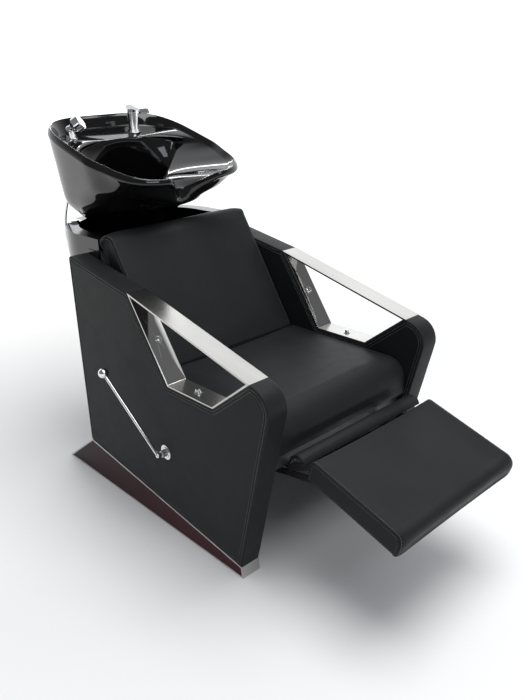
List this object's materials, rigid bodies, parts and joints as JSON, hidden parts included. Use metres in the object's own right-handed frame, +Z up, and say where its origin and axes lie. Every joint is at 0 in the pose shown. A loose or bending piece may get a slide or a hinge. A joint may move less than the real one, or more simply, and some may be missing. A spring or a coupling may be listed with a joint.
{
  "type": "shampoo backwash unit",
  "caption": "Salon shampoo chair with steel arm frames, a folding leg rest worked by a side lever, and a tilting black ceramic basin with mixer and hand shower.",
  "frame": {"origin": "centre of the four floor bolts, on the floor", "axes": "+X along the width, to the sitter's left; the sitter faces -Y; +Z up"},
  "size_m": [0.71, 1.4961, 1.1499],
  "materials": {
    "leatherette": "satin",
    "polished_steel": "polished",
    "chrome": "polished",
    "bare_steel": "satin",
    "black_frame": "satin",
    "plinth_gloss": "gloss",
    "housing_gloss": "gloss",
    "ceramic": "gloss",
    "black_board": "matte",
    "rubber": "matte",
    "hose_steel": "satin"
  },
  "bodies": {
    "chair": {"left_side_panel": "leatherette", "right_side_panel": "leatherette", "left_arm_frame": "polished_steel", "right_arm_frame": "polished_steel", "arm_frame_bolts": "chrome", "left_base_rail": "polished_steel", "right_base_rail": "polished_steel", "left_plinth_panel": "plinth_gloss", "right_plinth_panel": "plinth_gloss", "mid_base_beam": "black_frame", "rear_base_beam": "black_frame", "seat_frame": "black_frame", "seat_board": "black_board", "seat_cushion": "leatherette", "back_board": "black_board", "back_cushion": "leatherette", "back_brackets": "black_frame", "left_hinge_bracket": "black_frame", "right_hinge_bracket": "black_frame", "leg_pivot_pins": "bare_steel", "shaft_bearings": "bare_steel", "escutcheon": "chrome", "upper_cross_rail": "black_frame", "lower_cross_rail": "black_frame", "rear_cover": "housing_gloss", "access_panel": "housing_gloss", "access_screws": "chrome", "drum_shell": "housing_gloss", "drum_pan": "housing_gloss", "deck_grommet": "chrome", "bowl_bracket": "black_frame", "tilt_pins": "bare_steel", "waste_hose": "rubber"},
    "leg_rest": {"leg_rest_cushion": "leatherette", "leg_rest_board": "black_board", "left_rocker_plate": "black_frame", "right_rocker_plate": "black_frame", "leg_crossbar": "black_frame", "rod_front_pins": "bare_steel"},
    "lever": {"torque_shaft": "bare_steel", "lever_rod": "chrome", "lever_ball": "chrome", "rod_rear_pins": "bare_steel"},
    "rods": {"push_rods": "black_frame"},
    "flap": {"flap_frame": "polished_steel", "gap_flap": "leatherette"},
    "basin_unit": {"bowl_cradle": "black_frame", "bowl": "ceramic", "waste_flange": "chrome", "waste_strainer": "chrome", "mixer_body": "chrome", "spray_holder": "chrome", "hose_outlet": "chrome", "shower_hose": "hose_steel"},
    "mixer_swivel": {"mixer_cap": "chrome"},
    "mixer_handle": {"mixer_lever": "chrome"},
    "shower_head": {"hand_shower": "chrome"}
  },
  "joints": [
    {"name": "leg_rest_fold", "type": "hinge", "parent": "chair", "child": "leg_rest", "pos_m": [0, -0.598, 0.338], "axis": [1, 0, 0], "range_deg": [0, 84.5]},
    {"name": "lever_swing", "type": "hinge", "parent": "chair", "child": "lever", "pos_m": [0, -0.16, 0.261], "axis": [1, 0, 0], "range_deg": [0, 84.5]},
    {"name": "rod_pivot", "type": "hinge", "parent": "lever", "child": "rods", "pos_m": [0, -0.19857, 0.21504], "axis": [1, 0, 0], "range_deg": [-84.5, 0]},
    {"name": "flap_swing", "type": "hinge", "parent": "chair", "child": "flap", "pos_m": [0, -0.598, 0.338], "axis": [1, 0, 0], "range_deg": [0, 42.25]},
    {"name": "basin_tilt", "type": "hinge", "parent": "chair", "child": "basin_unit", "pos_m": [0, 0.4, 0.7], "axis": [1, 0, 0], "range_deg": [-5, 3]},
    {"name": "mixer_turn", "type": "hinge", "parent": "basin_unit", "child": "mixer_swivel", "pos_m": [0.08, 0.466, 1.123], "axis": [0, 0, 1], "range_deg": [-45, 45]},
    {"name": "mixer_lift", "type": "hinge", "parent": "mixer_swivel", "child": "mixer_handle", "pos_m": [0.08, 0.47, 1.1418], "axis": [-1, 0, 0], "range_deg": [0, 20]},
    {"name": "shower_pull", "type": "slide", "parent": "basin_unit", "child": "shower_head", "axis": [0, 0, 1], "range_m": [0, 0.15]}
  ],
  "couplings": [
    {"joint": "lever_swing", "follows": "leg_rest_fold", "ratio": 1},
    {"joint": "rod_pivot", "follows": "leg_rest_fold", "ratio": -1},
    {"joint": "flap_swing", "follows": "leg_rest_fold", "ratio": 0.5}
  ]
}
